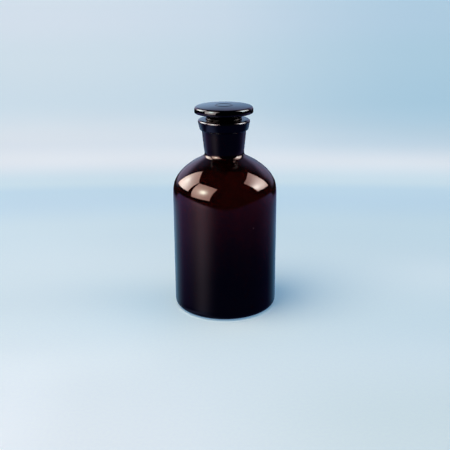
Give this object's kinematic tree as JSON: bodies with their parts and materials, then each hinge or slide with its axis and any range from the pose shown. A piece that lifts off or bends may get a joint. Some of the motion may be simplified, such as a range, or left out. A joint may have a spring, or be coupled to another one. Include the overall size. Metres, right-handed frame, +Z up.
{
  "type": "reagent bottle",
  "caption": "Amber glass laboratory reagent bottle with a domed shoulder, a thick rim band and a disc-head ground glass stopper that lifts out of the neck.",
  "frame": {"origin": "centre of the bottle's foot plane, on its axis", "axes": "+Z up along the bottle's axis towards the stopper; X and Y are arbitrary, because both pieces are round about Z"},
  "size_m": [0.0874, 0.0874, 0.1739],
  "materials": {
    "bottle": "dark amber, glossy",
    "stopper": "dark amber, glossy, with a frosted ground plug"
  },
  "bodies": {
    "bottle_body": {"bottle": "bottle"},
    "stopper_body": {"stopper": "stopper"}
  },
  "joints": [
    {"name": "stopper_lift", "type": "slide", "parent": "bottle_body", "child": "stopper_body", "axis": [0, 0, 1], "range_m": [0, 0.045]}
  ]
}
